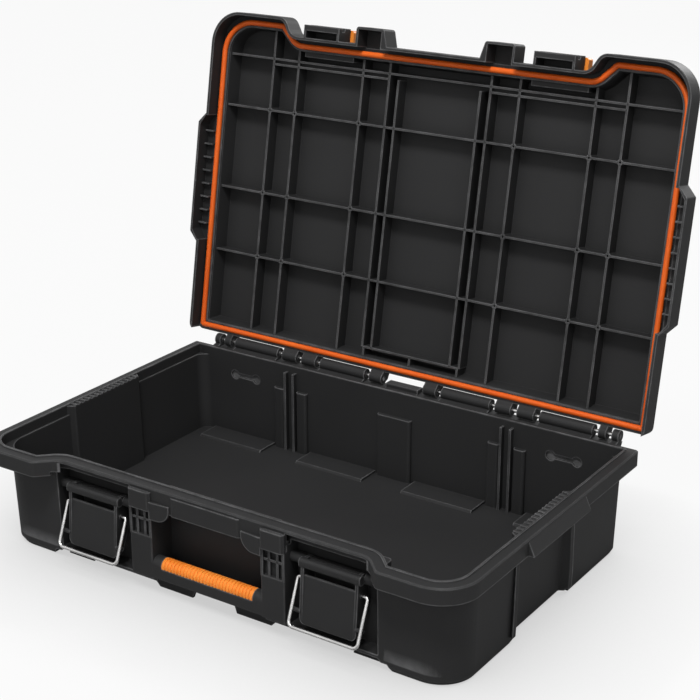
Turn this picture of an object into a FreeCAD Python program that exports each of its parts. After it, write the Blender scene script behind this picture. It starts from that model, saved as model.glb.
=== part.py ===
import FreeCAD, Part
import math
import os

# Lid plan: the outer line of the skirt, seen from above
lid_half_width = 270.0
case_front = 173.5
case_rear = 171.6
front_recess = 18.0
recess_half_width = 168.0
step_run = 18.0
skirt_step_run = 10.5
front_corner_radius = 34.0
rim_corner_radius = 42.0
rear_corner_radius = 8.0
step_radius = 12.0
smallest_radius = 1.5

# Heights of the closed case
parting_height = 92.0
band_height = 12.0
band_drop = 3.5
ridge_rise = 1.3
lid_depth = 26.5
hinge_rise = 4.5
lid_open_angle = 100.15

# From the middle of the base to the middle of the open case, front to back
stance_shift = 49.2

# Shells
wall = 3.0
overlap = 1.0
skirt_wall = 3.0
band_wall = 2.8
band_edge = 1.2
skirt_edge_gap = 0.4
band_inset = 5.5
band_front_inset = 7.0
band_rear_inset = 2.5
rim_inset = 17.0
rim_front_inset = 19.0
rim_rear_inset = 10.0
ridge_width = 2.2
ridge_rear_width = 1.2

# Tub
tub_inset = 16.0
wall_draft = 2.5
front_draft = 2.0
front_wall_setback = 27.5
tub_front_radius = 32.0
tub_rear_radius = 14.0
tub_edge = 4.0
underside = 6.0
foot_inner = 186.0
foot_front_end = -44.0
foot_rear_start = 58.0
foot_slope = 5.0
front_relief_height = 9.0
front_relief_depth = 13.0
side_recess = 5.0
side_recess_front = -42.0
side_recess_rear = 48.0
side_recess_top = 80.0
side_recess_radius = 2.0
inner_step_radius = 4.0
pad_rib_pitch = 6.5
pad_rib_width = 2.4
pad_rib_rise = 0.9
pad_rib_count = 15

# Front: handle pocket, towers and latch pockets
tower_inner = 61.0
tower_outer = 86.0
post_offset = 9.0
handle_pocket_depth = 24.0
handle_valance = 21.0
latch_pocket_depth = 17.0
latch_pocket_floor = 12.0
tower_proud = 4.0
tower_head_proud = 6.5
tower_head_height = 18.0
tower_head_taper = 2.0
tower_head_wall = 2.2
tower_top_drop = 4.0
tower_bottom = 14.0
tower_edge = 1.2
window_height = 26.0
window_cheek = 2.4
window_bar = 2.2
window_bar_offset = 4.4
window_bar_setback = 1.2
window_cross_share = 0.55
centre_block_half = 38.4
centre_block_proud = 1.5
centre_block_radius = 3.0
lug_gap = 0.8
lug_width = 21.0
lug_drop = 9.0
lug_radius = 13.0
lug_lip = 1.5

# Handle bar and grip
bar_radius = 7.2
bar_axis_height = 28.0
bar_bottom = 14.5
bar_edge = 2.0
bar_round_gap = 0.2
grip_half = 51.0
grip_thickness = 2.2
grip_pitch = 3.6
grip_rib = 0.9
grip_groove = 1.5
grip_groove_floor = 0.7
grip_front_angle = -12.0
grip_back_angle = 196.0
grip_end_trim = 4.0
grip_gap = 0.05
grip_seat_reach = 5.0
cleat_inner = 20.0
cleat_inner_slope = 5.0
cleat_outer_slope = 14.0
cleat_outer = 77.0
cleat_lift = 0.5
post_cleat_width = 30.0
post_cleat_setback = 11.0
post_cleat_depth = 2.5

# Latches
lever_width = 58.0
lever_length = 46.0
lever_plate = 3.0
lever_plate_edge = 1.4
lever_side_wall = 3.0
lever_depth = 16.0
lever_proud = 2.0
lever_flare = 4.5
lever_corner_radius = 7.0
lever_slot = 5.8
lever_slot_drop = 24.0
lever_bar_height = 8.6
lever_bar_depth = 7.1
lever_bar_proud = 1.5
lever_bar_overhang = 2.0
lever_bar_radius = 3.2
lever_barrel_radius = 4.6
lever_pin_radius = 2.0
lever_pin_setback = 9.5
lever_pin_drop = 16.0
lever_pin_reach = 4.0
lever_pin_end_gap = 0.2
lever_boss_radius = 5.0
lever_boss_gap = 0.6
pin_fit = 0.05
bail_length = 44.0
bail_lean = 22.1
bail_wire_radius = 1.65
bail_side_gap = 4.6
bail_bend_radius = 5.0
bail_eye_gap = 0.4
bail_end_grip = 2.0
bail_pin_setback = 2.7
bail_pin_drop = 29.5
bail_rest_gap = 0.3
stop_radius = 1.9
stop_share = 0.62
hook_groove_depth = 3.4
hook_groove_room = 1.6
hook_gap = 0.25

# Seal
seal_radius = 2.8
seal_inset = 7.4
seal_front_inset = 9.6
seal_rear_inset = 5.5
seal_gap = 0.3

# Lid
shoulder_inset = 10.0
shoulder_drop = 16.5
fence_gap = 0.2
fence_width = 2.0
fence_drop = 2.0
cavity_draft = 3.0
lid_rear_rise = 3.0
rib_width = 2.2
rib_drop = 15.0
rib_columns = (201.5, 169.7, 89.5)
twin_columns = (58.0, 47.0)
rib_rows = (254.3, 166.4, 97.4)
front_row = 308.0
front_row_gap = 5.5
front_row_shelf = 2.0
front_row_shelf_depth = 4.0
crossing_boss_radius = 2.9
crossing_hole_radius = 1.1
crossing_hole_depth = 7.0
hinge_box_half = 56.0
hinge_box_row = 27.0
wing_proud = 9.3
wing_front = -64.8
wing_rear = 73.8
wing_slope = 10.0
wing_radius = 3.0
wing_wall = 2.2
wing_rib_count = 8
wing_rib_width = 1.8
wing_rib_depth = 7.0
wing_ledge = 5.5
wing_ledge_edge = 1.5
wing_ledge_setback = 16.0
strike_half = 21.5
strike_proud = 13.0
tower_box_proud = 17.0
tower_box_gap = 1.2
tower_box_slope = 5.0
tower_box_radius = 3.0
front_box_wall = 2.4
front_box_height = 20.8

# Stack release
button_half = 25.0
button_height = 8.6
button_drop = 11.6
button_travel = 4.0
button_proud = 11.5
button_radius = 3.0
button_guide_gap = 0.3
button_room_gap = 0.3
button_flange = 2.5
button_flange_depth = 2.2
button_seat_depth = 8.5
button_housing_wall = 2.0
spring_thickness = 0.7
spring_room = 2.0
spring_end_gap = 0.05
spring_half = 13.0
spring_height = 6.0

# Top of the lid
rail_height = 7.0
rail_width = 14.0
rail_margin = 9.0

# Hinge
hinge_setback = 7.0
knuckle_radius = 6.0
hinge_pin_radius = 2.0
knuckle_gap = 6.0
outer_knuckle_inset = 42.0
outer_knuckle_width = 8.0
end_knuckle_width = 7.0
middle_knuckle = (132.5, 151.0)
second_knuckle = (108.0, 125.5)
inner_knuckle = (25.0, 40.0)
pin_hold = 14.0
pin_end_gap = 0.5
pin_cap = 1.0
saddle_gap = 0.6
hinge_web_depth = 12.0
sill_drop = 1.5
sill_depth = 5.5
sill_rear = 5.0
knuckle_arm_rise = 6.0

# Inside of the base
slot_centre = 130.0
slot_half = 4.0
slot_rail = 2.4
slot_depth = 6.0
slot_top_drop = 6.0
pillar_gap = 1.5
pillar_width = 13.0
pillar_depth = 4.5
pillar_radius = 3.0
pillar_top = 78.0
centre_pad_half = 20.0
floor_ledge_height = 2.5
floor_ledge_depth = 26.0
floor_ledge_gap = 4.0
tie_recess_centre = 191.0
tie_recess_half = 14.0
tie_recess_height = 79.0
tie_recess_radius = 5.0
tie_recess_bar = 2.2
tie_recess_depth = 2.0

# Places that follow from the sizes above
front_y = -case_front
rear_y = case_rear
recess_y = front_y + front_recess
band_y = recess_y + band_front_inset
band_bottom = parting_height - band_drop
rim_height = parting_height + band_height
ridge_height = rim_height + ridge_rise
hinge_y = rear_y + hinge_setback
hinge_z = rim_height + hinge_rise
skirt_edge = parting_height + skirt_edge_gap
seal_z = rim_height + seal_gap + seal_radius
shelf_z = seal_z + seal_radius
lid_top = rim_height + lid_depth
ceiling_z = lid_top - wall
rib_bottom = ceiling_z - rib_drop
shoulder_z = lid_top - shoulder_drop
front_wall_y = front_y + front_wall_setback
tub_half_top = lid_half_width - tub_inset
tub_half_bottom = tub_half_top - wall_draft
rear_wall_y = rear_y - rim_rear_inset + wall
floor_top = underside + wall
post_inner = recess_half_width + post_offset
latch_x = (tower_outer + post_inner) / 2
latch_back_y = front_wall_y + latch_pocket_depth
handle_back_y = front_wall_y + handle_pocket_depth
handle_pocket_top = rim_height - handle_valance
tower_front_y = front_wall_y - tower_proud
tower_head_y = front_wall_y - tower_head_proud
tower_top = rim_height - tower_top_drop
window_top = tower_top - tower_head_height
window_bottom = window_top - window_height
bar_y = tower_front_y + bar_radius
lever_left = latch_x - lever_width / 2
lever_right = latch_x + lever_width / 2
lever_pivot_y = front_wall_y + lever_pin_setback
lever_pivot_z = parting_height - lever_pin_drop
lever_front_y = front_wall_y - lever_proud
lever_slot_bottom = parting_height - lever_slot_drop
lever_bottom = lever_slot_bottom - lever_length
bail_pivot_y = front_wall_y + bail_pin_setback
bail_pivot_z = parting_height - bail_pin_drop
bail_half = lever_width / 2 + bail_side_gap + bail_wire_radius
strike_front_y = recess_y - strike_proud
hook_bar_y = strike_front_y + hook_groove_depth - bail_wire_radius - hook_gap
hook_bar_z = bail_pivot_z + math.sqrt(bail_length ** 2 - (hook_bar_y - bail_pivot_y) ** 2)
fence_inset = seal_inset + seal_radius + fence_gap
fence_front_inset = seal_front_inset + seal_radius + fence_gap
fence_rear_inset = seal_rear_inset + seal_radius + fence_gap
button_z = lid_top - button_drop
button_seat_y = recess_y + button_seat_depth
outer_knuckle_high = lid_half_width - outer_knuckle_inset
outer_knuckle = (outer_knuckle_high - outer_knuckle_width, outer_knuckle_high)
end_knuckle = (outer_knuckle_high + knuckle_gap, outer_knuckle_high + knuckle_gap + end_knuckle_width)
lid_knuckles = (outer_knuckle, middle_knuckle, second_knuckle, inner_knuckle)
base_knuckles = (
    end_knuckle,
    (middle_knuckle[1] + knuckle_gap, outer_knuckle[0] - knuckle_gap),
    (inner_knuckle[1] + knuckle_gap, second_knuckle[0] - knuckle_gap),
)
outer_pin = (outer_knuckle[0] - pin_hold, end_knuckle[1] - pin_cap)
middle_pin = (second_knuckle[0] - pin_hold, middle_knuckle[1] + pin_hold)
inner_pin = (inner_knuckle[0] + pin_end_gap, inner_knuckle[1] + pin_hold)

X_AXIS = FreeCAD.Vector(1, 0, 0)
ORIGIN = FreeCAD.Vector(0, 0, 0)


def flat(z):
    return lambda a, b: FreeCAD.Vector(a, b, z)


def side(x):
    return lambda a, b: FreeCAD.Vector(x, a, b)


def section(y):
    return lambda a, b: FreeCAD.Vector(a, y, b)


def rounded_wire(corners, place):
    starts = []
    ends = []
    middles = []
    count = len(corners)
    for i in range(count):
        x, y, radius = corners[i]
        px, py, _ = corners[i - 1]
        nx, ny, _ = corners[(i + 1) % count]
        back = math.hypot(px - x, py - y)
        ahead = math.hypot(nx - x, ny - y)
        bx, by = (px - x) / back, (py - y) / back
        ax, ay = (nx - x) / ahead, (ny - y) / ahead
        half = math.acos(max(-1.0, min(1.0, bx * ax + by * ay))) / 2
        reach = radius / math.tan(half)
        starts.append((x + bx * reach, y + by * reach))
        ends.append((x + ax * reach, y + ay * reach))
        mx, my = bx + ax, by + ay
        size = math.hypot(mx, my)
        inward = radius / math.sin(half) - radius
        middles.append((x + mx / size * inward, y + my / size * inward))
    edges = []
    for i in range(count):
        if corners[i][2] > 0:
            arc = Part.Arc(place(*starts[i]), place(*middles[i]), place(*ends[i]))
            edges.append(arc.toShape())
        first = place(*ends[i])
        last = place(*starts[(i + 1) % count])
        if first.distanceToPoint(last) > 1e-6:
            edges.append(Part.makeLine(first, last))
    return Part.Wire(edges)


def prism(corners, low, high):
    face = Part.Face(rounded_wire(corners, flat(low)))
    return face.extrude(FreeCAD.Vector(0, 0, high - low))


def taper(low_corners, low, high_corners, high):
    wires = [rounded_wire(low_corners, flat(low)), rounded_wire(high_corners, flat(high))]
    return Part.makeLoft(wires, True, True)


def side_prism(corners, left, right):
    face = Part.Face(rounded_wire(corners, side(left)))
    return face.extrude(FreeCAD.Vector(right - left, 0, 0))


def section_prism(corners, front, rear):
    face = Part.Face(rounded_wire(corners, section(front)))
    return face.extrude(FreeCAD.Vector(0, rear - front, 0))


def block(x0, x1, y0, y1, z0, z1):
    corner = FreeCAD.Vector(min(x0, x1), min(y0, y1), min(z0, z1))
    return Part.makeBox(abs(x1 - x0), abs(y1 - y0), abs(z1 - z0), corner)


def rod(x0, x1, y, z, radius):
    start = FreeCAD.Vector(min(x0, x1), y, z)
    return Part.makeCylinder(radius, abs(x1 - x0), start, X_AXIS)


def post(x, y, low, high, radius):
    return Part.makeCylinder(radius, high - low, FreeCAD.Vector(x, y, low))


def mirrored(shape):
    return shape.mirror(ORIGIN, X_AXIS)


def both_sides(shapes):
    result = []
    for shape in shapes:
        result.append(shape)
        result.append(mirrored(shape))
    return result


def opened(shape):
    turned = shape.copy()
    turned.rotate(FreeCAD.Vector(0, hinge_y, hinge_z), X_AXIS, -lid_open_angle)
    return turned


def single(shape):
    cleaned = shape.removeSplitter()
    return cleaned.Solids[0] if len(cleaned.Solids) == 1 else cleaned


def lid_line(inset, rear_inset=None, front_inset=None, run=step_run, corner=rim_corner_radius):
    half = lid_half_width - inset
    ahead = inset if front_inset is None else front_inset
    front = front_y + ahead
    recess = recess_y + ahead
    rear = rear_y - (inset if rear_inset is None else rear_inset)
    turn = math.atan2(front_recess, run)
    inner = recess_half_width + inset * math.tan(turn / 2)
    outer = inner + run
    front_r = max(corner - inset, smallest_radius)
    rear_r = max(rear_corner_radius - inset, smallest_radius)
    bulge_r = max(step_radius - inset, smallest_radius)
    hollow_r = step_radius + inset
    return [
        (outer, front, bulge_r),
        (half, front, front_r),
        (half, rear, rear_r),
        (-half, rear, rear_r),
        (-half, front, front_r),
        (-outer, front, bulge_r),
        (-inner, recess, hollow_r),
        (inner, recess, hollow_r),
    ]


def skirt_line(inset, rear_inset=None):
    return lid_line(inset, rear_inset, inset, skirt_step_run, front_corner_radius)


def tub_line(half, front, rear):
    return [
        (half, front, tub_front_radius),
        (half, rear, tub_rear_radius),
        (-half, rear, tub_rear_radius),
        (-half, front, tub_front_radius),
    ]


def cavity_line(half, rear):
    handle = tower_inner + wall
    post_wall = post_inner + wall
    handle_y = handle_back_y + wall
    latch_y = latch_back_y + wall
    post_y = front_wall_y + wall
    r = inner_step_radius
    front_r = tub_front_radius - wall
    rear_r = tub_rear_radius - wall
    return [
        (post_wall, post_y, r),
        (half, post_y, front_r),
        (half, rear, rear_r),
        (-half, rear, rear_r),
        (-half, post_y, front_r),
        (-post_wall, post_y, r),
        (-post_wall, latch_y, r),
        (-handle, latch_y, r),
        (-handle, handle_y, r),
        (handle, handle_y, r),
        (handle, latch_y, r),
        (post_wall, latch_y, r),
    ]


def wall_x(z):
    return tub_half_bottom + (tub_half_top - tub_half_bottom) * z / parting_height


def tub():
    low = tub_line(tub_half_bottom, front_wall_y + front_draft, rear_wall_y)
    high = tub_line(tub_half_top, front_wall_y, rear_wall_y)
    trim = tub_edge / 2
    sole = tub_line(tub_half_bottom - trim, front_wall_y + front_draft + trim, rear_wall_y - trim)
    foot = taper(sole, 0, low, tub_edge)
    body = taper(low, tub_edge, high, parting_height)
    band_line = lid_line(band_inset, band_rear_inset, band_front_inset)
    brow_line = lid_line(band_inset + band_edge, band_rear_inset + band_edge, band_front_inset + band_edge)
    band = prism(band_line, band_bottom, rim_height - band_edge)
    brow = taper(band_line, rim_height - band_edge, brow_line, rim_height)
    ridge_line = lid_line(
        rim_inset - ridge_width, rim_rear_inset - ridge_rear_width, rim_front_inset - ridge_width
    )
    ridge = prism(ridge_line, rim_height - overlap, ridge_height)
    body = body.fuse([foot, band, brow, ridge])
    outer_line = lid_line(band_inset + band_wall, band_rear_inset + band_wall, band_front_inset + band_wall)
    inner_line = lid_line(rim_inset - wall, rim_rear_inset - wall, rim_front_inset - wall)
    channel = prism(outer_line, band_bottom, rim_height - wall)
    channel = channel.cut(prism(inner_line, band_bottom - overlap, rim_height))
    body = body.cut(channel)
    shoulder = parting_height + wall
    lower = cavity_line(wall_x(floor_top) - wall, rear_wall_y - wall)
    upper = cavity_line(wall_x(parting_height) - wall, rear_wall_y - wall)
    well = taper(lower, floor_top, upper, shoulder + overlap)
    mouth = prism(lid_line(rim_inset, rim_rear_inset, rim_front_inset), shoulder, ridge_height + overlap)
    return body.cut([well, mouth])


def side_bump_line(z, depth, front, rear):
    outer = wall_x(z) + wall
    inner = wall_x(z) - depth
    return [
        (outer, front - depth, 0),
        (outer, rear + depth, 0),
        (inner, rear, side_recess_radius),
        (inner, front, side_recess_radius),
    ]


def side_bump():
    deep = side_recess + wall
    low = side_bump_line(floor_top - overlap, deep, side_recess_front - wall, side_recess_rear + wall)
    high = side_bump_line(rim_height, deep, side_recess_front - wall, side_recess_rear + wall)
    bump = taper(low, floor_top - overlap, high, rim_height)
    limit = prism(lid_line(rim_inset - ridge_width, rim_rear_inset), 0, rim_height + overlap)
    return bump.common(limit)


def rim_pad_ribs():
    inner = wall_x(rim_height) - side_recess - wall
    outer = lid_half_width - rim_inset + overlap
    middle = (side_recess_front + side_recess_rear) / 2
    first = middle - pad_rib_pitch * (pad_rib_count - 1) / 2
    shapes = []
    for i in range(pad_rib_count):
        y = first + i * pad_rib_pitch
        half = pad_rib_width / 2
        low = rim_height - overlap
        shapes.append(block(inner, outer, y - half, y + half, low, rim_height + pad_rib_rise))
    return shapes


def side_hollow():
    low = side_bump_line(-1, side_recess, side_recess_front, side_recess_rear)
    high = side_bump_line(side_recess_top, side_recess, side_recess_front, side_recess_rear)
    return taper(low, -1, high, side_recess_top)


def feet_relief():
    reach = lid_half_width + overlap
    across = [
        (-foot_inner - foot_slope, -overlap, 0),
        (foot_inner + foot_slope, -overlap, 0),
        (foot_inner, underside, 0),
        (-foot_inner, underside, 0),
    ]
    along = [
        (foot_front_end - foot_slope, -overlap, 0),
        (foot_rear_start + foot_slope, -overlap, 0),
        (foot_rear_start, underside, 0),
        (foot_front_end, underside, 0),
    ]
    ahead = [
        (-foot_inner, -overlap, 0),
        (foot_inner, -overlap, 0),
        (post_inner, front_relief_height, 0),
        (-post_inner, front_relief_height, 0),
    ]
    front = section_prism(ahead, front_y, front_wall_y + front_relief_depth)
    return [section_prism(across, front_y, rear_y), side_prism(along, -reach, reach), front]


def wing_ledge_strip():
    outer = lid_half_width - band_inset
    top = rim_height - band_edge - overlap
    points = [
        (outer - overlap, top, 0),
        (outer - overlap, band_bottom, 0),
        (outer + wing_ledge, band_bottom, 0),
        (outer + wing_ledge, band_bottom + wing_ledge_edge, 0),
        (outer, top, 0),
    ]
    return section_prism(points, wing_front + wing_ledge_setback, wing_rear - wing_ledge_setback)


def latch_pocket():
    return block(tower_outer, post_inner, front_y, latch_back_y, latch_pocket_floor, parting_height)


def lever_bosses():
    inner_end = lever_left - lever_boss_gap
    outer_end = lever_right + lever_boss_gap
    inner = rod(tower_outer - overlap, inner_end, lever_pivot_y, lever_pivot_z, lever_boss_radius)
    outer = rod(outer_end, post_inner + overlap, lever_pivot_y, lever_pivot_z, lever_boss_radius)
    return [inner, outer]


def handle_pocket():
    lower = block(-tower_inner, tower_inner, front_y, handle_back_y, -overlap, handle_pocket_top)
    behind = front_wall_y + wall
    upper = block(-tower_inner, tower_inner, behind, handle_back_y, handle_pocket_top - overlap, band_bottom)
    return lower.fuse(upper)


def valance():
    half = tower_inner + overlap
    return block(-half, half, band_y, front_wall_y + wall, handle_pocket_top, parting_height)


def tower_head_line(trim, back):
    return [
        (tower_inner + trim, back, 0),
        (tower_inner + trim, tower_front_y, 0),
        (tower_inner + tower_head_taper + trim, tower_head_y + trim, tower_edge),
        (tower_outer - tower_head_taper - trim, tower_head_y + trim, tower_edge),
        (tower_outer - trim, tower_front_y, 0),
        (tower_outer - trim, back, 0),
    ]


def tower_head():
    body = prism(tower_head_line(0, band_y + overlap), window_top, tower_top)
    room_line = tower_head_line(tower_head_wall, band_y - overlap / 2)
    room = prism(room_line, window_top + wall, tower_top + overlap)
    middle = (tower_inner + tower_outer) / 2
    half = window_bar / 2
    low = window_top + overlap
    divider = block(middle - half, middle + half, tower_head_y + overlap, band_y, low, tower_top - overlap)
    return body.cut(room).fuse(divider)


def tower_window():
    low = window_bottom - overlap
    high = window_top + overlap
    behind = front_wall_y + wall
    middle = (tower_inner + tower_outer) / 2
    bar_front = tower_front_y + window_bar_setback
    half = window_bar / 2
    shapes = [
        block(tower_inner, tower_inner + window_cheek, tower_front_y, behind, low, high),
        block(tower_outer - window_cheek, tower_outer, tower_front_y, behind, low, high),
    ]
    for x in (middle - window_bar_offset, middle + window_bar_offset):
        shapes.append(block(x - half, x + half, bar_front, front_wall_y + overlap, low, high))
    cross_z = window_bottom + window_height * window_cross_share
    cross_top = cross_z + window_bar
    shapes.append(block(tower_inner, tower_outer, bar_front, front_wall_y + overlap, cross_z, cross_top))
    return shapes


def tower():
    behind = front_wall_y + wall
    lower = block(tower_inner, tower_outer, tower_front_y, behind, tower_bottom, window_bottom)
    lower = lower.makeFillet(tower_edge, [e for e in lower.Edges if e.BoundBox.YMax < tower_front_y + 0.1])
    back = block(tower_inner, tower_outer, front_wall_y, behind, window_bottom, parting_height)
    return lower.fuse([back, tower_head()] + tower_window())


def shoulder_lug():
    front = tower_head_y + tower_edge
    low = handle_pocket_top - lug_drop
    high = parting_height - lug_gap
    inner = tower_inner - lug_width
    behind = band_y + overlap / 2
    plan = [
        (tower_inner + overlap, behind, 0),
        (tower_inner + overlap, front, 0),
        (tower_inner - tower_edge, front, tower_edge),
        (inner, band_y - lug_lip, 0),
        (inner, behind, 0),
    ]
    outline = [
        (inner, high, 0),
        (inner, low, lug_radius),
        (tower_inner + overlap, low, 0),
        (tower_inner + overlap, high, 0),
    ]
    return prism(plan, low, high).common(section_prism(outline, front - overlap, band_y + wall))


def centre_block():
    points = [
        (-centre_block_half, band_y - centre_block_proud, centre_block_radius),
        (centre_block_half, band_y - centre_block_proud, centre_block_radius),
        (centre_block_half, band_y + wall, 0),
        (-centre_block_half, band_y + wall, 0),
    ]
    return prism(points, handle_pocket_top, rim_height - wall)


def scoops():
    outer = block(tower_outer, post_inner, band_y - overlap, band_y + band_wall, 0, rim_height - wall)
    return both_sides([outer])


def handle_bar():
    front = bar_y - bar_radius
    back = bar_y + bar_radius
    round_radius = bar_radius - bar_round_gap
    outer = [
        (front, bar_bottom, bar_edge),
        (back, bar_bottom, bar_edge / 2),
        (back, bar_axis_height + bar_radius, round_radius),
        (front, bar_axis_height + bar_radius, round_radius),
    ]
    inner = [
        (front + wall, bar_bottom - overlap, 0),
        (back - wall, bar_bottom - overlap, 0),
        (back - wall, bar_axis_height - bar_radius, 0),
        (front + wall, bar_axis_height - bar_radius, 0),
    ]
    bar = side_prism(outer, -tower_inner - overlap, tower_inner + overlap)
    hollow = side_prism(inner, -tower_inner, tower_inner)
    reach = grip_half + overlap
    seat_end = grip_half + grip_gap
    seat = rod(-seat_end, seat_end, bar_y, bar_axis_height, bar_radius + grip_seat_reach)
    core = rod(-reach, reach, bar_y, bar_axis_height, bar_radius - grip_thickness - grip_gap)
    seat_low = bar_axis_height + bar_radius * math.sin(math.radians(grip_front_angle))
    below = block(-reach, reach, front - grip_seat_reach, back + grip_seat_reach, 0, seat_low)
    return bar.cut([hollow, seat.cut([core, below])])


def wall_pad(left, right):
    face = rear_wall_y - wall
    points = [
        (left, face - pillar_depth, pillar_radius),
        (right, face - pillar_depth, pillar_radius),
        (right, face + overlap, 0),
        (left, face + overlap, 0),
    ]
    return prism(points, floor_top - overlap, pillar_top)


def slot_wall(x):
    face = rear_wall_y - wall
    half = slot_rail / 2
    top = rim_height - slot_top_drop
    return block(x - half, x + half, face - slot_depth, face + overlap, floor_top - overlap, top)


def back_wall_fittings():
    shapes = []
    for turn in (-1, 1):
        edge = slot_centre + turn * (slot_half + slot_rail / 2)
        near = slot_centre + turn * (slot_half + slot_rail + pillar_gap)
        far = near + turn * pillar_width
        shapes.append(slot_wall(edge))
        shapes.append(wall_pad(min(near, far), max(near, far)))
    return both_sides(shapes) + [wall_pad(-centre_pad_half, centre_pad_half)]


def floor_ledges():
    face = rear_wall_y - wall
    profile = [
        (face + overlap, floor_top - overlap, 0),
        (face + overlap, floor_top + floor_ledge_height, 0),
        (face - floor_ledge_depth, floor_top + floor_ledge_height, 0),
        (face - floor_ledge_depth - floor_ledge_height, floor_top - overlap, 0),
    ]
    gap = slot_half + slot_rail + pillar_width + floor_ledge_gap
    inner = side_prism(profile, centre_pad_half + floor_ledge_gap, slot_centre - gap)
    outer = side_prism(profile, slot_centre + gap, wall_x(floor_top) - wall - tub_rear_radius)
    return both_sides([inner, outer])


def tie_recess():
    face = rear_wall_y - wall
    left = tie_recess_centre - tie_recess_half
    right = tie_recess_centre + tie_recess_half
    low = tie_recess_height - tie_recess_bar
    high = tie_recess_height + tie_recess_bar
    bar = block(left, right, face - overlap, face + tie_recess_depth, low, high)
    lobes = []
    for x in (left, right):
        start = FreeCAD.Vector(x, face - overlap, tie_recess_height)
        along = FreeCAD.Vector(0, 1, 0)
        lobes.append(Part.makeCylinder(tie_recess_radius, tie_recess_depth + overlap, start, along))
    return bar.fuse(lobes)


def base_knuckle(low, high):
    root = rear_y - band_rear_inset - 2 * overlap
    lean = math.radians(60)
    web = side_prism(
        [
            (root, rim_height - hinge_web_depth, 0),
            (hinge_y + knuckle_radius * math.cos(lean), hinge_z - knuckle_radius * math.sin(lean), 0),
            (hinge_y, hinge_z, 0),
            (hinge_y - knuckle_radius * 0.8, hinge_z - knuckle_radius * 0.6, 0),
            (root, rim_height - band_edge, 0),
        ],
        low,
        high,
    )
    barrel = rod(low, high, hinge_y, hinge_z, knuckle_radius)
    return web.fuse(barrel)


def hinge_ledge():
    root = rear_y - band_rear_inset - 2 * overlap
    top = hinge_z - knuckle_radius - saddle_gap
    points = [
        (root, rim_height - hinge_web_depth, 0),
        (hinge_y + sill_rear / 2, rim_height - hinge_web_depth / 2, 0),
        (hinge_y + sill_rear, top, 0),
        (root, top, 0),
    ]
    return side_prism(points, -end_knuckle[1], end_knuckle[1])


def hinge_sill():
    root = rear_y - band_rear_inset - 2 * overlap
    half = inner_knuckle[0] - knuckle_gap
    points = [
        (root, rim_height - hinge_web_depth / 2, 0),
        (hinge_y + sill_rear, rim_height - hinge_web_depth / 2, 0),
        (hinge_y + sill_rear, hinge_z - sill_drop, overlap),
        (hinge_y - sill_depth, hinge_z - sill_drop, overlap),
        (hinge_y - sill_depth, rim_height - band_edge, 0),
        (root, rim_height - band_edge, 0),
    ]
    return side_prism(points, -half, half)


def cleats():
    back = bar_y + bar_radius
    high = bar_axis_height - bar_radius
    outline = [
        (cleat_inner, high, 0),
        (cleat_inner, bar_bottom, 0),
        (cleat_inner + cleat_inner_slope, cleat_lift, 0),
        (cleat_outer - cleat_outer_slope, cleat_lift, 0),
        (cleat_outer, bar_bottom, 0),
        (cleat_outer, high, 0),
    ]
    inner = section_prism(outline, back - wall, back)
    front = front_wall_y + post_cleat_setback
    rear = front + post_cleat_depth
    left = post_inner - post_cleat_width
    outer = block(left, post_inner + overlap, front, rear, 0, latch_pocket_floor - overlap)
    return both_sides([inner, outer])


def base_shell():
    body = tub()
    body = body.fuse(both_sides([side_bump()] + rim_pad_ribs()))
    body = body.cut(both_sides([side_hollow()]))
    body = body.cut(feet_relief())
    body = body.cut([handle_pocket()] + both_sides([latch_pocket()]))
    body = body.cut(scoops())
    body = body.fuse(both_sides([tower(), shoulder_lug(), wing_ledge_strip()] + lever_bosses()))
    body = body.fuse([valance(), centre_block(), handle_bar()])
    body = body.fuse(cleats() + back_wall_fittings() + floor_ledges())
    body = body.cut(both_sides([tie_recess()]))
    knuckles = [base_knuckle(low, high) for low, high in base_knuckles]
    body = body.fuse(both_sides(knuckles) + [hinge_ledge(), hinge_sill()])
    radius = hinge_pin_radius + pin_fit
    bores = [rod(low - overlap, high, hinge_y, hinge_z, radius) for low, high in pin_spans()]
    low = tower_outer - lever_pin_reach
    high = post_inner + lever_pin_reach
    bores.append(rod(low, high, lever_pivot_y, lever_pivot_z, lever_pin_radius + pin_fit))
    return single(body.cut(both_sides(bores)))


def pin_spans():
    return (outer_pin, middle_pin, inner_pin)


def hinge_pin(span):
    return rod(span[0], span[1], hinge_y, hinge_z, hinge_pin_radius)


def lever_pin():
    reach = lever_pin_reach - lever_pin_end_gap
    return rod(tower_outer - reach, post_inner + reach, lever_pivot_y, lever_pivot_z, lever_pin_radius)


def handle_grip():
    inner = bar_radius - grip_thickness
    points = [(-grip_half, inner), (-grip_half, bar_radius)]
    count = int(2 * grip_half / grip_pitch)
    pitch = 2 * grip_half / count
    for i in range(1, count):
        middle = -grip_half + i * pitch
        points.append((middle - grip_groove / 2, bar_radius))
        points.append((middle - grip_groove_floor / 2, bar_radius - grip_rib))
        points.append((middle + grip_groove_floor / 2, bar_radius - grip_rib))
        points.append((middle + grip_groove / 2, bar_radius))
    points.append((grip_half, bar_radius))
    points.append((grip_half, inner))
    vectors = [FreeCAD.Vector(x, bar_y - r, bar_axis_height) for x, r in points]
    face = Part.Face(Part.makePolygon(vectors + [vectors[0]]))
    centre = FreeCAD.Vector(0, bar_y, bar_axis_height)
    face.rotate(centre, X_AXIS, -grip_front_angle)
    return face.revolve(centre, X_AXIS, -(grip_back_angle - grip_front_angle - grip_end_trim))


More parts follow.
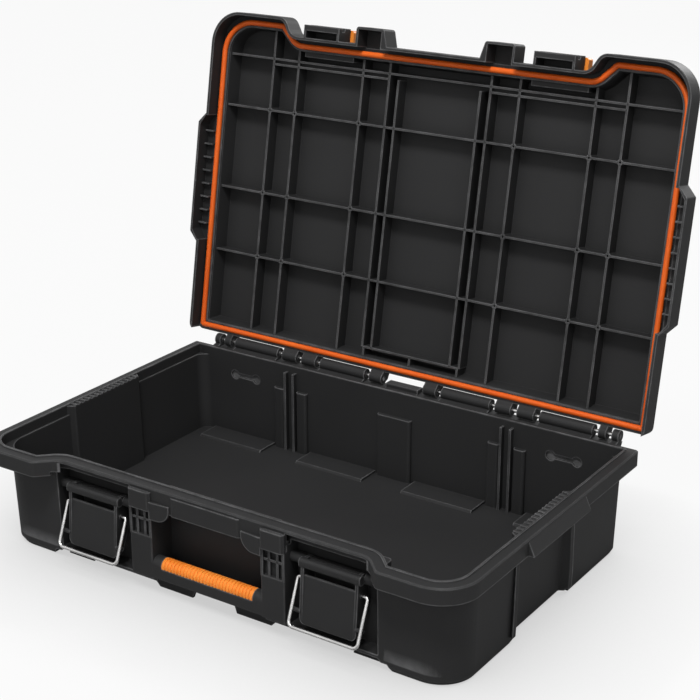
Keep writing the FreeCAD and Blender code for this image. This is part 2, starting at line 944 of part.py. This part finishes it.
def lever_cheek_line():
    back = lever_front_y + lever_depth
    low_front = lever_front_y - lever_flare
    bar_top = lever_slot_bottom + lever_slot + lever_bar_height
    return [
        (low_front, lever_bottom, lever_plate_edge),
        (low_front + lever_depth / 2, lever_bottom, lever_plate),
        (back, lever_slot_bottom - lever_depth, lever_corner_radius),
        (back, lever_pivot_z + lever_barrel_radius, lever_barrel_radius),
        (lever_front_y, bar_top, lever_barrel_radius),
    ]


def lever_frame():
    cheeks = side_prism(lever_cheek_line(), lever_left, lever_right)
    between = side_prism(lever_cheek_line(), lever_left + lever_side_wall, lever_right - lever_side_wall)
    cheeks = cheeks.cut(between)
    low_front = lever_front_y - lever_flare
    plate_line = [
        (low_front, lever_bottom, lever_plate_edge),
        (low_front + lever_plate, lever_bottom, lever_plate_edge),
        (lever_front_y + lever_plate, lever_slot_bottom, lever_plate_edge),
        (lever_front_y, lever_slot_bottom, lever_plate_edge),
    ]
    plate = side_prism(plate_line, lever_left + overlap, lever_right - overlap)
    top = lever_pivot_z + lever_corner_radius * 2
    outline = [
        (lever_left, lever_bottom, lever_corner_radius),
        (lever_right, lever_bottom, lever_corner_radius),
        (lever_right, top, 0),
        (lever_left, top, 0),
    ]
    return cheeks.fuse(plate).common(section_prism(outline, front_y, rear_y))


def lever_bar():
    front = lever_front_y - lever_bar_proud
    back = front + lever_bar_depth
    low = lever_slot_bottom + lever_slot
    high = low + lever_bar_height
    points = [
        (front, low, lever_bar_radius),
        (back, low, lever_bar_radius / 2),
        (back, high, lever_bar_radius),
        (front, high, lever_bar_radius),
    ]
    return side_prism(points, lever_left - lever_bar_overhang, lever_right + lever_bar_overhang)


def lever_stops():
    drop = lever_length * stop_share
    lean = math.radians(bail_lean)
    away = bail_wire_radius + bail_rest_gap + stop_radius
    y = bail_pivot_y - drop * math.tan(lean) + away / math.cos(lean)
    z = bail_pivot_z - drop
    reach = bail_side_gap + bail_wire_radius
    return [
        rod(lever_left - reach, lever_left + overlap, y, z, stop_radius),
        rod(lever_right - overlap, lever_right + reach, y, z, stop_radius),
    ]


def latch_lever():
    left = lever_left + overlap
    barrel = rod(left, lever_right - overlap, lever_pivot_y, lever_pivot_z, lever_barrel_radius)
    body = lever_frame().fuse([lever_bar(), barrel] + lever_stops())
    reach = lever_side_wall + bail_end_grip + overlap
    wire = bail_wire_radius + pin_fit
    bore_left = lever_left - overlap
    bore_right = lever_right + overlap
    holes = [
        rod(bore_left, lever_left + reach, bail_pivot_y, bail_pivot_z, wire),
        rod(lever_right - reach, bore_right, bail_pivot_y, bail_pivot_z, wire),
        rod(bore_left, bore_right, lever_pivot_y, lever_pivot_z, lever_pin_radius + pin_fit),
    ]
    return single(body.cut(holes))


def latch_bail():
    lean = math.radians(bail_lean)
    down = FreeCAD.Vector(0, -math.sin(lean), -math.cos(lean))
    pivot = FreeCAD.Vector(latch_x, bail_pivot_y, bail_pivot_z)

    def at(x, drop):
        return pivot + FreeCAD.Vector(x, 0, 0) + down * drop

    def bend(x, drop, radius, turn, rise):
        corner = radius * (1 - math.sqrt(0.5))
        start = at(x, drop - rise * radius)
        middle = at(x - turn * corner, drop - rise * corner)
        end = at(x - turn * radius, drop)
        return Part.Arc(start, middle, end).toShape()

    inner = lever_width / 2 - lever_side_wall - bail_end_grip
    low = bail_length - bail_bend_radius
    eye = bail_wire_radius + bail_eye_gap
    half = bail_half
    edges = [
        Part.makeLine(at(-inner, 0), at(-half + eye, 0)),
        bend(-half, 0, eye, -1, -1),
        Part.makeLine(at(-half, eye), at(-half, low)),
        bend(-half, bail_length, bail_bend_radius, -1, 1),
        Part.makeLine(at(-half + bail_bend_radius, bail_length), at(half - bail_bend_radius, bail_length)),
        bend(half, bail_length, bail_bend_radius, 1, 1),
        Part.makeLine(at(half, low), at(half, eye)),
        bend(half, 0, eye, 1, -1),
        Part.makeLine(at(half - eye, 0), at(inner, 0)),
    ]
    path = Part.Wire(edges)
    ring = Part.makeCircle(bail_wire_radius, at(-inner, 0), X_AXIS)
    return path.makePipeShell([Part.Wire([ring])], True, True)


def lid_seal():
    path = rounded_wire(lid_line(seal_inset, seal_rear_inset, seal_front_inset), flat(seal_z))
    start = FreeCAD.Vector(0, recess_y + seal_front_inset, seal_z)
    ring = Part.makeCircle(seal_radius, start, X_AXIS)
    edges = path.Edges
    front = [e for e in edges if abs(e.BoundBox.YMin - start.y) < 0.01 and e.BoundBox.YLength < 0.01]
    others = [e for e in edges if not e.isSame(front[0])]
    left = FreeCAD.Vector(front[0].BoundBox.XMin, start.y, seal_z)
    right = FreeCAD.Vector(front[0].BoundBox.XMax, start.y, seal_z)
    ordered = Part.__sortEdges__([Part.makeLine(start, right)] + others + [Part.makeLine(left, start)])
    cord = Part.Wire(ordered).makePipeShell([Part.Wire([ring])], True, True)
    return opened(cord)


def wing_line(proud, trim):
    inner = lid_half_width - skirt_wall - overlap / 2
    outer = lid_half_width + proud
    return [
        (inner, wing_front + trim, 0),
        (lid_half_width, wing_front + trim, 0),
        (outer, wing_front + wing_slope + trim, wing_radius),
        (outer, wing_rear - wing_slope - trim, wing_radius),
        (lid_half_width, wing_rear - trim, 0),
        (inner, wing_rear - trim, 0),
    ]


def wing_ribs():
    shapes = []
    inner = lid_half_width - skirt_wall
    outer = lid_half_width + wing_proud - wing_wall / 2
    half = wing_rib_width / 2
    first = wing_front + wing_slope + wing_wall
    last = wing_rear - wing_slope - wing_wall
    for i in range(wing_rib_count):
        y = first + (last - first) * (i + 0.5) / wing_rib_count
        shapes.append(block(inner, outer, y - half, y + half, shelf_z - wing_rib_depth, shelf_z + overlap))
    return shapes


def strike_box():
    left = latch_x - strike_half
    right = latch_x + strike_half
    top = skirt_edge + front_box_height
    w = front_box_wall
    outer = block(left, right, strike_front_y, recess_y + overlap, skirt_edge, top)
    room_front = strike_front_y + hook_groove_depth + w
    inner = block(left + w, right - w, room_front, recess_y, skirt_edge - overlap, top - w)
    groove_low = hook_bar_z - bail_wire_radius - hook_gap
    groove_high = hook_bar_z + bail_wire_radius + hook_groove_room
    groove_back = strike_front_y + hook_groove_depth
    groove = side_prism(
        [
            (strike_front_y - overlap, groove_low, 0),
            (groove_back, groove_low, hook_gap),
            (groove_back, groove_high, hook_gap),
            (strike_front_y - overlap, groove_high + hook_groove_room, 0),
        ],
        left - overlap,
        right + overlap,
    )
    return outer.cut([inner, groove])


def tower_box():
    left = tower_inner - tower_box_gap - front_box_wall
    right = tower_outer + tower_box_gap + front_box_wall
    front = recess_y - tower_box_proud
    points = [
        (left, front, tower_box_radius),
        (right, front, tower_box_radius),
        (right, recess_y + overlap, 0),
        (left - tower_box_slope, recess_y + overlap, 0),
    ]
    return prism(points, skirt_edge, skirt_edge + front_box_height)


def tower_box_void():
    left = tower_inner - tower_box_gap
    right = tower_outer + tower_box_gap
    front = recess_y - tower_box_proud + front_box_wall
    rear = recess_y + skirt_wall + overlap / 2
    high = skirt_edge + front_box_height - front_box_wall
    return block(left, right, front, rear, skirt_edge - overlap, high)


def rib_along(x, front, rear):
    half = rib_width / 2
    return block(x - half, x + half, front, rear, rib_bottom, ceiling_z + overlap)


def rib_across(left, right, y):
    half = rib_width / 2
    return block(left, right, y - half, y + half, rib_bottom, ceiling_z + overlap)


def lid_ribs():
    half = lid_half_width - skirt_wall
    front = hinge_y - front_row
    second = front + front_row_gap
    rear = rear_y - skirt_wall
    box_y = hinge_y - hinge_box_row
    shapes = [rib_along(x, front_y, rear) for x in rib_columns]
    shapes.append(rib_along(twin_columns[0], front_y, box_y))
    shapes.append(rib_along(twin_columns[1], second, box_y))
    shapes.append(rib_across(twin_columns[0], rib_columns[0], second))
    shelf_z0 = rib_bottom + front_row_shelf_depth
    shapes.append(block(twin_columns[0], rib_columns[0], front, second, shelf_z0, shelf_z0 + front_row_shelf))
    shapes.append(rib_along(hinge_box_half, box_y, rear))
    shapes = both_sides(shapes)
    shapes.append(rib_across(-half, half, front))
    for v in rib_rows:
        shapes.append(rib_across(-half, half, hinge_y - v))
    shapes.append(rib_across(-hinge_box_half, hinge_box_half, box_y))
    shapes.append(rib_along(0, box_y, rear))
    return shapes


def crossing_bosses():
    shapes = []
    for x in rib_columns:
        for v in rib_rows:
            shapes.append(post(x, hinge_y - v, rib_bottom, ceiling_z + overlap, crossing_boss_radius))
    return both_sides(shapes)


def crossing_holes():
    top = rib_bottom + crossing_hole_depth
    shapes = []
    for x in rib_columns:
        for v in rib_rows:
            shapes.append(post(x, hinge_y - v, rib_bottom - overlap, top, crossing_hole_radius))
    return both_sides(shapes)


def top_rails():
    high = lid_top + rail_height
    outer = prism(lid_line(shoulder_inset + rail_margin), lid_top - overlap, high)
    inner = prism(lid_line(shoulder_inset + rail_margin + rail_width), lid_top - 2 * overlap, high + overlap)
    middle = block(-foot_inner, foot_inner, front_y - overlap, rear_y + overlap, lid_top, high + overlap)
    sides = block(-lid_half_width, lid_half_width, foot_front_end, foot_rear_start, lid_top, high + overlap)
    return outer.cut([inner, middle, sides])


def lid_knuckle(low, high):
    root = rear_y - 2 * overlap
    rise = hinge_z + knuckle_radius
    arm = side_prism(
        [
            (root, hinge_z - overlap, 0),
            (hinge_y, hinge_z - knuckle_radius, 0),
            (hinge_y + knuckle_radius, hinge_z, 0),
            (hinge_y + knuckle_arm_rise / 3, rise + knuckle_arm_rise / 3, 2 * overlap),
            (root, rise + knuckle_arm_rise, 0),
        ],
        low,
        high,
    )
    beyond = block(low, high, hinge_y, hinge_y + 3 * knuckle_radius, hinge_z - 3 * knuckle_radius, hinge_z)
    barrel = rod(low, high, hinge_y, hinge_z, knuckle_radius)
    return arm.cut(beyond).fuse(barrel)


def button_window():
    across = button_half + button_guide_gap
    tall = button_height / 2 + button_guide_gap
    front = recess_y - strike_proud
    rear = button_seat_y + overlap
    return block(latch_x - across, latch_x + across, front, rear, button_z - tall, button_z + tall)


def button_room(margin):
    gap = button_guide_gap + button_room_gap + margin
    across = button_half + button_flange + gap
    tall = button_height / 2 + button_flange / 2 + gap
    front = button_seat_y - margin
    back = spring_back() + margin
    return block(latch_x - across, latch_x + across, front, back, button_z - tall, button_z + tall)


def spring_back():
    return button_seat_y + button_flange_depth + button_travel + 2 * spring_thickness + spring_room


def button_housing():
    room = button_room(button_housing_wall)
    box = room.BoundBox
    web = block(box.XMin, box.XMax, box.YMin, box.YMax, button_z, ceiling_z + overlap)
    return room.fuse(web)


def release_button():
    left = latch_x - button_half
    right = latch_x + button_half
    low = button_z - button_height / 2
    high = button_z + button_height / 2
    front = recess_y - button_proud
    seat = button_seat_y + button_guide_gap
    back = seat + button_flange_depth
    points = [
        (left, front, button_radius),
        (right, front, button_radius),
        (right, back, 0),
        (left, back, 0),
    ]
    body = prism(points, low, high)
    edge = button_flange / 2
    flange = block(left - button_flange, right + button_flange, seat, back, low - edge, high + edge)
    return opened(single(body.fuse(flange)))


def button_spring():
    back = spring_back() - spring_end_gap
    front = button_seat_y + button_guide_gap + button_flange_depth + spring_end_gap
    low = button_z - spring_height / 2

    def bow(middle_y, end_y):
        left = FreeCAD.Vector(latch_x - spring_half, end_y, low)
        middle = FreeCAD.Vector(latch_x, middle_y, low)
        right = FreeCAD.Vector(latch_x + spring_half, end_y, low)
        return Part.Arc(left, middle, right).toShape()

    near = bow(front, back - spring_thickness)
    far = bow(front + spring_thickness, back)
    left_end = Part.makeLine(near.Vertexes[0].Point, far.Vertexes[0].Point)
    right_end = Part.makeLine(far.Vertexes[-1].Point, near.Vertexes[-1].Point)
    face = Part.Face(Part.Wire(Part.__sortEdges__([near, right_end, far, left_end])))
    return opened(face.extrude(FreeCAD.Vector(0, 0, spring_height)))


def lid_cover():
    skirt = prism(skirt_line(0), skirt_edge, shoulder_z)
    crown = taper(skirt_line(0), shoulder_z, skirt_line(shoulder_inset), lid_top)
    wing = prism(wing_line(wing_proud, 0), skirt_edge, shoulder_z)
    return skirt.fuse([crown] + both_sides([wing, strike_box(), tower_box()]))


def lid_hollows():
    skirt_space = prism(skirt_line(skirt_wall, band_rear_inset), skirt_edge - overlap, shelf_z)
    side_inset = fence_inset + fence_width
    rear_inset = fence_rear_inset + fence_width
    front_inset = fence_front_inset + fence_width
    low = lid_line(side_inset, rear_inset, front_inset)
    high = lid_line(side_inset + cavity_draft, rear_inset + cavity_draft, front_inset + cavity_draft)
    cavity = taper(low, shelf_z - fence_drop, high, ceiling_z)
    wing_space = prism(wing_line(wing_proud - wing_wall, wing_wall), skirt_edge - overlap, shelf_z - overlap)
    return [skirt_space, cavity] + both_sides([wing_space])


def seal_fence():
    outer_line = lid_line(fence_inset, fence_rear_inset, fence_front_inset)
    outer = prism(outer_line, shelf_z - fence_drop, shelf_z + overlap)
    side_inset = fence_inset + fence_width
    inner_line = lid_line(side_inset, fence_rear_inset + fence_width, fence_front_inset + fence_width)
    return outer.cut(prism(inner_line, shelf_z - fence_drop - overlap, shelf_z + 2 * overlap))


def rear_clearance():
    half = lid_half_width - skirt_wall
    return block(-half, half, rear_y - rear_corner_radius, rear_y + overlap, 0, rim_height + lid_rear_rise)


def lid_shell():
    body = lid_cover().cut(lid_hollows())
    limit = prism(lid_line(fence_inset, fence_rear_inset, fence_front_inset), 0, ceiling_z + overlap)
    inside = lid_ribs() + crossing_bosses() + both_sides([button_housing()])
    body = body.fuse([seal_fence()] + [shape.common(limit) for shape in inside] + both_sides(wing_ribs()))
    body = body.cut(crossing_holes() + both_sides([button_room(0), button_window(), tower_box_void()]))
    body = body.cut(rear_clearance())
    knuckles = [lid_knuckle(low, high) for low, high in lid_knuckles]
    body = body.fuse([top_rails()] + both_sides(knuckles))
    radius = hinge_pin_radius + pin_fit
    bores = [rod(low - overlap, high + overlap, hinge_y, hinge_z, radius) for low, high in lid_knuckles]
    return opened(single(body.cut(both_sides(bores))))


def export(name, shape):
    placed = shape.translated(FreeCAD.Vector(0, -stance_shift, 0))
    placed.exportStep(os.path.join("parts", name + ".step"))


os.makedirs("parts", exist_ok=True)
export("base_shell", base_shell())
export("lid_shell", lid_shell())
export("lid_seal", lid_seal())
export("handle_grip", handle_grip())
for label, shape in (
    ("outer_hinge_pin", hinge_pin(outer_pin)),
    ("middle_hinge_pin", hinge_pin(middle_pin)),
    ("inner_hinge_pin", hinge_pin(inner_pin)),
    ("lever_pin", lever_pin()),
    ("latch_lever", latch_lever()),
    ("latch_bail", latch_bail()),
    ("release_button", release_button()),
    ("button_spring", button_spring()),
):
    export("right_" + label, shape)
    export("left_" + label, mirrored(shape))
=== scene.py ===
import bpy
import math
from mathutils import Matrix, Vector

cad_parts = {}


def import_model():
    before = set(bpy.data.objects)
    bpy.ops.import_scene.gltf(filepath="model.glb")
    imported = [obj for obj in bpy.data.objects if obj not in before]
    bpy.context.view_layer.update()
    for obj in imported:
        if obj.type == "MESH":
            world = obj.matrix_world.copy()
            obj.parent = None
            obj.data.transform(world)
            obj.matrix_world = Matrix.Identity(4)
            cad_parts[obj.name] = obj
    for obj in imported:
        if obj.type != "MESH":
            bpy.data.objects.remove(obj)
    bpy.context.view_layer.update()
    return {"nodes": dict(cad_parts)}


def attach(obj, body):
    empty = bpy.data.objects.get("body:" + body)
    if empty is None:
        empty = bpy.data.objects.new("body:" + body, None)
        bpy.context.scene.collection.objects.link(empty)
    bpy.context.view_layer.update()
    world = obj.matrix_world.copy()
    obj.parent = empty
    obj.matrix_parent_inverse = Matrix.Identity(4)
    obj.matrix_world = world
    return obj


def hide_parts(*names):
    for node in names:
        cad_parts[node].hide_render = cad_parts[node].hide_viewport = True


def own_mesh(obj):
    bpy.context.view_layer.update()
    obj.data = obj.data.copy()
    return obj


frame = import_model()
nodes = frame["nodes"]
hands = ("left", "right")
pins = ("outer_hinge_pin", "middle_hinge_pin", "inner_hinge_pin", "lever_pin")

# Most of a noise's values lie between these two, which are spread over the range asked for
noise_low = 0.3
noise_high = 0.7

# Black plastic: lengths in metres, noise scales per metre
black_edge_radius = 0.0009
black_edge_reach = 0.0014
# Painted shade in recesses: reach of the occlusion, colour it darkens to, and its most share
black_recess_reach = 0.03
black_recess_shade = 0.004
black_recess_most = 0.45
# Least share of the lighter edges, which are partly wear and partly painted highlight, where the patchy noise
# is low
black_wear_highlight_least = 0.35
black_worn_polish = 0.16
black_broad_scale = 9.0
black_wear_highlight_scale = 70.0
black_grain_depth = 0.0004
black_grain_strength = 0.25
black_specular = 0.18

# Orange plastic and rubber
orange_edge_radius = 0.0002
orange_broad_scale = 25.0
orange_grain_scale = 1400.0
orange_grain_depth = 0.0003
orange_grain_strength = 0.15
orange_specular = 0.35

# Bare metal
metal_broad_scale = 60.0
metal_grain_scale = 2200.0
metal_grain_depth = 0.0002
metal_grain_strength = 0.08

# Edge and recess nodes take this many samples in a material
surface_samples = 6

# Floor, in metres, just under the feet
floor_half = 6.0
floor_drop = 0.0005
floor_matt = 0.45
floor_glow_share = 0.94
# Painted contact shadow on the floor: reach, samples and least glow near the part
contact_reach = 0.16
contact_samples = 16
contact_least = 0.62

# The world's light on the part, and what is seen of it
world_light = 0.14
world_seen = 1.0

# Camera at the photo's viewing angle
camera_lens = 83.97
camera_sensor = 36.0
camera_far = 50.0
camera_azimuth = math.radians(33.83)
camera_elevation = math.radians(20.73)
camera_place = (0.8159, -1.1879, 0.7313)


# Shader nodes
def new_material(name):
    material = bpy.data.materials.new(name)
    material.use_nodes = True
    tree = material.node_tree
    return material, tree, tree.nodes["Principled BSDF"]


def object_noise(tree, scale, detail, roughness=0.5):
    place = tree.nodes.new("ShaderNodeTexCoord")
    noise = tree.nodes.new("ShaderNodeTexNoise")
    noise.inputs["Scale"].default_value = scale
    noise.inputs["Detail"].default_value = detail
    noise.inputs["Roughness"].default_value = roughness
    tree.links.new(place.outputs["Object"], noise.inputs["Vector"])
    return noise.outputs["Fac"]


def noise_color(tree, noise, dark, light):
    node = tree.nodes.new("ShaderNodeValToRGB")
    first, last = node.color_ramp.elements
    first.position = noise_low
    first.color = dark
    last.position = noise_high
    last.color = light
    tree.links.new(noise, node.inputs["Fac"])
    return node.outputs["Color"]


def span(tree, source, first, last, low, high):
    node = tree.nodes.new("ShaderNodeMapRange")
    node.inputs["From Min"].default_value = first
    node.inputs["From Max"].default_value = last
    node.inputs["To Min"].default_value = low
    node.inputs["To Max"].default_value = high
    tree.links.new(source, node.inputs["Value"])
    return node.outputs["Result"]


def noise_span(tree, noise, low, high):
    return span(tree, noise, noise_low, noise_high, low, high)


def combine(tree, operation, first, second):
    node = tree.nodes.new("ShaderNodeMath")
    node.operation = operation
    tree.links.new(first, node.inputs[0])
    tree.links.new(second, node.inputs[1])
    return node.outputs["Value"]


def blend(tree, share, first, second):
    node = tree.nodes.new("ShaderNodeMix")
    node.data_type = "RGBA"
    tree.links.new(share, node.inputs[0])
    tree.links.new(first, node.inputs[6])
    node.inputs[7].default_value = second
    return node.outputs[2]


def bump(tree, source, strength, distance, normal=None):
    node = tree.nodes.new("ShaderNodeBump")
    node.inputs["Strength"].default_value = strength
    node.inputs["Distance"].default_value = distance
    tree.links.new(source, node.inputs["Height"])
    if normal is not None:
        tree.links.new(normal, node.inputs["Normal"])
    return node.outputs["Normal"]


def soft_edges(tree, radius):
    node = tree.nodes.new("ShaderNodeBevel")
    node.samples = surface_samples
    node.inputs["Radius"].default_value = radius
    return node.outputs["Normal"]


def occlusion(tree, reach, inside, samples=surface_samples, only_local=True):
    node = tree.nodes.new("ShaderNodeAmbientOcclusion")
    node.inside = inside
    node.only_local = only_local
    node.samples = samples
    node.inputs["Distance"].default_value = reach
    return node.outputs["AO"]


# Colours
def warm_grey(value):
    return (value, value * 0.99, value * 0.98, 1.0)


def charcoal(value):
    return (value, value, value * 1.02, 1.0)


# Materials
def moulded_black(name, dark, light, edge_wear_highlight, low_rough, high_rough, grain):
    material, tree, shader = new_material(name)
    broad = object_noise(tree, black_broad_scale, 4.0)
    fine = object_noise(tree, grain, 3.0, 0.6)
    uneven_wear_highlight = object_noise(tree, black_wear_highlight_scale, 3.0)

    # Sharp edges are rubbed lighter and smoother: this is partly wear and partly a painted edge highlight.
    # Recesses are darkened with painted shade
    edges = span(tree, occlusion(tree, black_edge_reach, True), 0.97, 0.55, 0.0, 1.0)
    wear_and_highlight = combine(tree, "MULTIPLY", edges, noise_span(tree, uneven_wear_highlight, black_wear_highlight_least, 1.0))
    painted_recess_shade = span(tree, occlusion(tree, black_recess_reach, False), 0.15, 0.75, black_recess_most, 0.0)
    color = noise_color(tree, broad, charcoal(dark), charcoal(light))
    # Painted shade darkens the colour in recesses
    color = blend(tree, painted_recess_shade, color, charcoal(black_recess_shade))
    # Lighter edges: partly wear, partly painted edge highlight
    color = blend(tree, wear_and_highlight, color, charcoal(edge_wear_highlight))
    rough = noise_span(tree, broad, low_rough, high_rough)
    rough = combine(tree, "SUBTRACT", rough, span(tree, wear_and_highlight, 0.0, 1.0, 0.0, black_worn_polish))
    normal = bump(tree, fine, black_grain_strength, black_grain_depth, soft_edges(tree, black_edge_radius))

    tree.links.new(color, shader.inputs["Base Color"])
    tree.links.new(rough, shader.inputs["Roughness"])
    tree.links.new(normal, shader.inputs["Normal"])
    shader.inputs["Specular IOR Level"].default_value = black_specular
    return material


def moulded_orange(name, dark, light, low_rough, high_rough):
    material, tree, shader = new_material(name)
    broad = object_noise(tree, orange_broad_scale, 4.0)
    fine = object_noise(tree, orange_grain_scale, 2.0)
    normal = bump(tree, fine, orange_grain_strength, orange_grain_depth, soft_edges(tree, orange_edge_radius))

    tree.links.new(noise_color(tree, broad, dark, light), shader.inputs["Base Color"])
    tree.links.new(noise_span(tree, broad, low_rough, high_rough), shader.inputs["Roughness"])
    tree.links.new(normal, shader.inputs["Normal"])
    shader.inputs["Specular IOR Level"].default_value = orange_specular
    return material


def bright_metal(name, dark, light, low_rough, high_rough):
    material, tree, shader = new_material(name)
    broad = object_noise(tree, metal_broad_scale, 5.0)
    fine = object_noise(tree, metal_grain_scale, 2.0)
    color = noise_color(tree, broad, warm_grey(dark), warm_grey(light))

    tree.links.new(color, shader.inputs["Base Color"])
    tree.links.new(noise_span(tree, broad, low_rough, high_rough), shader.inputs["Roughness"])
    tree.links.new(bump(tree, fine, metal_grain_strength, metal_grain_depth), shader.inputs["Normal"])
    shader.inputs["Metallic"].default_value = 1.0
    return material


body_black = moulded_black("body_black", 0.0235, 0.0268, 0.17, 0.55, 0.61, 900.0)
lid_black = moulded_black("lid_black", 0.0235, 0.0268, 0.17, 0.55, 0.61, 900.0)
lever_black = moulded_black("lever_black", 0.022, 0.025, 0.16, 0.46, 0.52, 1100.0)
grip_orange = moulded_orange("grip_orange", (0.94, 0.26, 0.03, 1), (0.99, 0.32, 0.045, 1), 0.36, 0.48)
seal_orange = moulded_orange("seal_orange", (0.82, 0.115, 0.010, 1), (0.90, 0.15, 0.014, 1), 0.36, 0.5)
zinc_steel = bright_metal("zinc_steel", 0.50, 0.64, 0.18, 0.3)
spring_steel = bright_metal("spring_steel", 0.35, 0.45, 0.3, 0.4)


def paint(name, material):
    target = nodes[name]
    target.data.materials.clear()
    target.data.materials.append(material)


paint("base_shell", body_black)
paint("lid_shell", lid_black)
paint("lid_seal", seal_orange)
paint("handle_grip", grip_orange)
for hand in hands:
    paint(hand + "_latch_lever", lever_black)
    paint(hand + "_latch_bail", zinc_steel)
    paint(hand + "_release_button", grip_orange)
    paint(hand + "_button_spring", spring_steel)
    for pin in pins:
        paint(hand + "_" + pin, zinc_steel)


# Copies of the button springs, carried by the lid, in place of the hidden originals
def leaf_spring(hand):
    node_name = hand + "_button_spring"
    leaf = bpy.data.objects.new(hand + "_leaf_spring", nodes[node_name].data.copy())
    bpy.context.collection.objects.link(leaf)
    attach(leaf, "lid")
    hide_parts(node_name)
    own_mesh(leaf)


for hand in hands:
    leaf_spring(hand)


# Floor that looks near white to the camera, lights the part as a matt grey, and carries a painted contact
# shadow: its glow is dimmer close to the part
def floor():
    mesh = bpy.data.meshes.new("floor")
    corners = [
        (-floor_half, -floor_half, 0),
        (floor_half, -floor_half, 0),
        (floor_half, floor_half, 0),
        (-floor_half, floor_half, 0),
    ]
    mesh.from_pydata(corners, [], [(0, 1, 2, 3)])
    plane = bpy.data.objects.new("floor", mesh)
    bpy.context.collection.objects.link(plane)
    plane.location.z = -floor_drop
    material = bpy.data.materials.new("pale_floor")
    material.use_nodes = True
    tree = material.node_tree
    tree.nodes.clear()
    out = tree.nodes.new("ShaderNodeOutputMaterial")
    mix = tree.nodes.new("ShaderNodeMixShader")
    matt = tree.nodes.new("ShaderNodeBsdfDiffuse")
    matt.inputs["Color"].default_value = (floor_matt, floor_matt, floor_matt, 1)
    glow = tree.nodes.new("ShaderNodeEmission")
    # Painted contact shadow: occlusion dims the floor's glow near the part
    painted_contact_shadow = occlusion(tree, contact_reach, False, contact_samples, False)
    tree.links.new(span(tree, painted_contact_shadow, 0.25, 1.0, contact_least, 1.0), glow.inputs["Strength"])
    path = tree.nodes.new("ShaderNodeLightPath")
    share = span(tree, path.outputs["Is Camera Ray"], 0.0, 1.0, 0.0, floor_glow_share)
    tree.links.new(share, mix.inputs["Fac"])
    tree.links.new(matt.outputs[0], mix.inputs[1])
    tree.links.new(glow.outputs[0], mix.inputs[2])
    tree.links.new(mix.outputs[0], out.inputs["Surface"])
    mesh.materials.append(material)


# World that is white where it is seen or mirrored, and a dim fill light elsewhere
def world():
    scene_world = bpy.data.worlds.new("studio")
    bpy.context.scene.world = scene_world
    scene_world.use_nodes = True
    tree = scene_world.node_tree
    back = tree.nodes["Background"]
    back.inputs["Color"].default_value = (1, 1, 1, 1)
    path = tree.nodes.new("ShaderNodeLightPath")
    seen = combine(tree, "MAXIMUM", path.outputs["Is Camera Ray"], path.outputs["Is Glossy Ray"])
    seen = combine(tree, "MAXIMUM", seen, path.outputs["Is Transmission Ray"])
    tree.links.new(span(tree, seen, 0.0, 1.0, world_light, world_seen), back.inputs["Strength"])


def lamp(name, place, target, size, power):
    data = bpy.data.lights.new(name, "AREA")
    data.shape = "DISK"
    data.size = size
    data.energy = power
    item = bpy.data.objects.new(name, data)
    bpy.context.collection.objects.link(item)
    item.location = place
    item.rotation_euler = (Vector(target) - Vector(place)).to_track_quat("-Z", "Y").to_euler()


def camera():
    data = bpy.data.cameras.new("camera")
    data.sensor_width = camera_sensor
    data.lens = camera_lens
    data.clip_end = camera_far
    item = bpy.data.objects.new("camera", data)
    bpy.context.collection.objects.link(item)
    back = Vector((
        math.sin(camera_azimuth) * math.cos(camera_elevation),
        -math.cos(camera_azimuth) * math.cos(camera_elevation),
        math.sin(camera_elevation),
    ))
    turn = back.to_track_quat("Z", "Y").to_matrix().to_4x4()
    item.matrix_world = Matrix.Translation(camera_place) @ turn
    bpy.context.scene.camera = item


# Lamps: name, place, target, width in metres and power in watts
floor()
world()
lamp("key", (0.4, -1.2, 2.6), (0, 0, 0.15), 0.7, 55)
lamp("front", (0.3, -2.2, 1.0), (0, 0, 0.15), 1.0, 7)
lamp("right", (1.8, -0.9, 1.1), (0, 0, 0.15), 1.4, 6)
lamp("left", (-2.0, -0.3, 1.1), (0, 0, 0.15), 1.2, 3)
lamp("back", (0.0, 2.6, 1.1), (0, 0, 0.2), 0.8, 26)
camera()
bpy.context.scene.view_settings.view_transform = "Standard"
